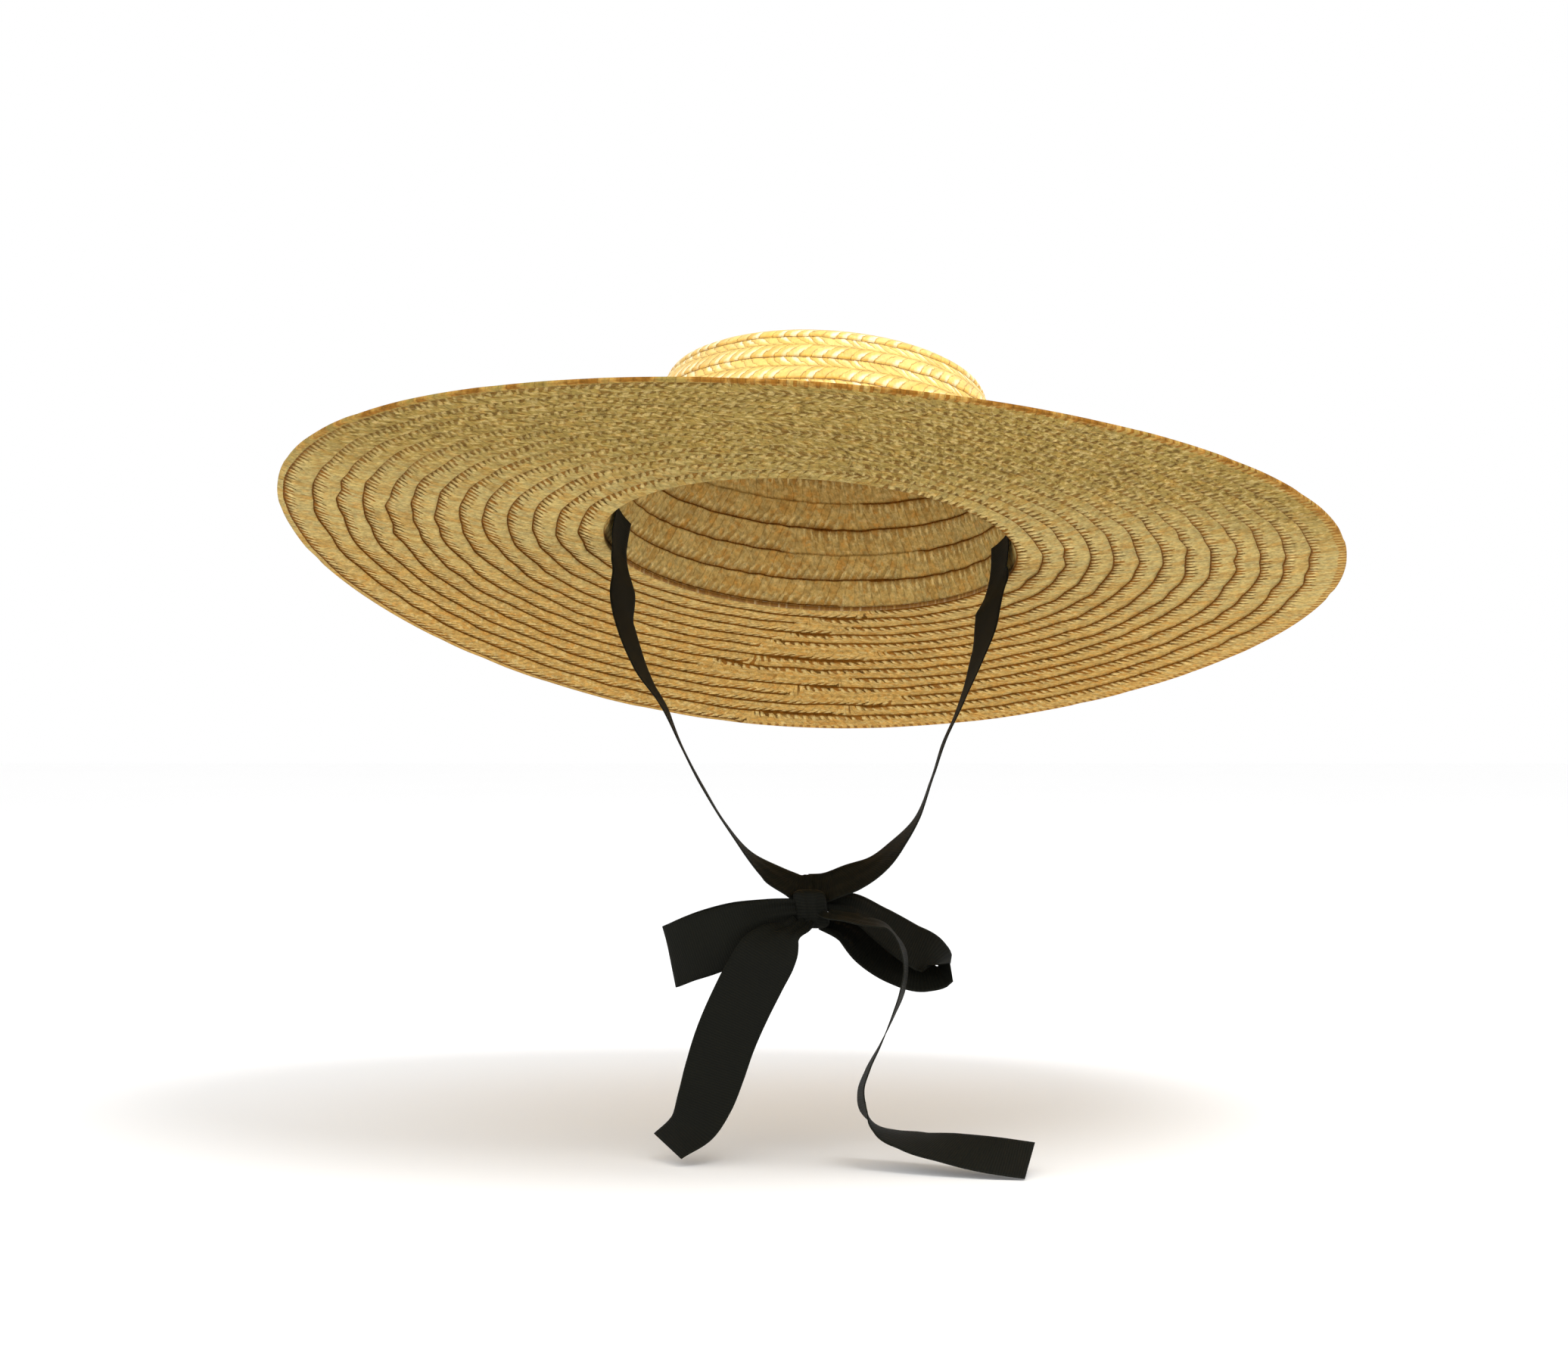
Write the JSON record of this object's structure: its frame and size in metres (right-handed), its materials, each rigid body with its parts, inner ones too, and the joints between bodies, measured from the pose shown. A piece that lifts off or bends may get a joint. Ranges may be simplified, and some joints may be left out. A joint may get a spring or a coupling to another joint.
{
  "type": "wide-brim straw picture hat with black ribbon ties",
  "caption": "Very wide drooping brim and low round crown of sewn straw plait, held as when worn, with black grosgrain chin ties knotted in a bow and long free ends",
  "frame": {"origin": "the centre of the head opening, where the crown meets the brim, where the hat sits on a head", "axes": "+X to the viewer's right, which is the wearer's left; +Y away from the viewer, to the wearer's back; +Z plumb up as worn, so the hat itself is tipped back 16.6 degrees and leans 3.9 degrees"},
  "size_m": [0.4989, 0.4794, 0.3723],
  "materials": {
    "crown_straw": "straw plait, golden, with a soft sheen",
    "brim_straw": "straw plait, tan to olive, with a soft sheen",
    "strap_left_ribbon": "matte grosgrain, near black",
    "strap_right_ribbon": "matte grosgrain, near black",
    "knot_ribbon": "matte grosgrain, near black",
    "loop_left_ribbon": "matte grosgrain, near black",
    "loop_right_ribbon": "matte grosgrain, near black",
    "tail_left_ribbon": "matte grosgrain, near black",
    "tail_right_ribbon": "matte grosgrain, near black"
  },
  "bodies": {
    "root": {"crown": "crown_straw", "brim": "brim_straw", "chin_strap_left": "strap_left_ribbon", "chin_strap_right": "strap_right_ribbon", "bow_knot": "knot_ribbon", "bow_loop_left": "loop_left_ribbon", "bow_loop_right": "loop_right_ribbon", "ribbon_tail_left": "tail_left_ribbon", "ribbon_tail_right": "tail_right_ribbon"}
  },
  "joints": []
}
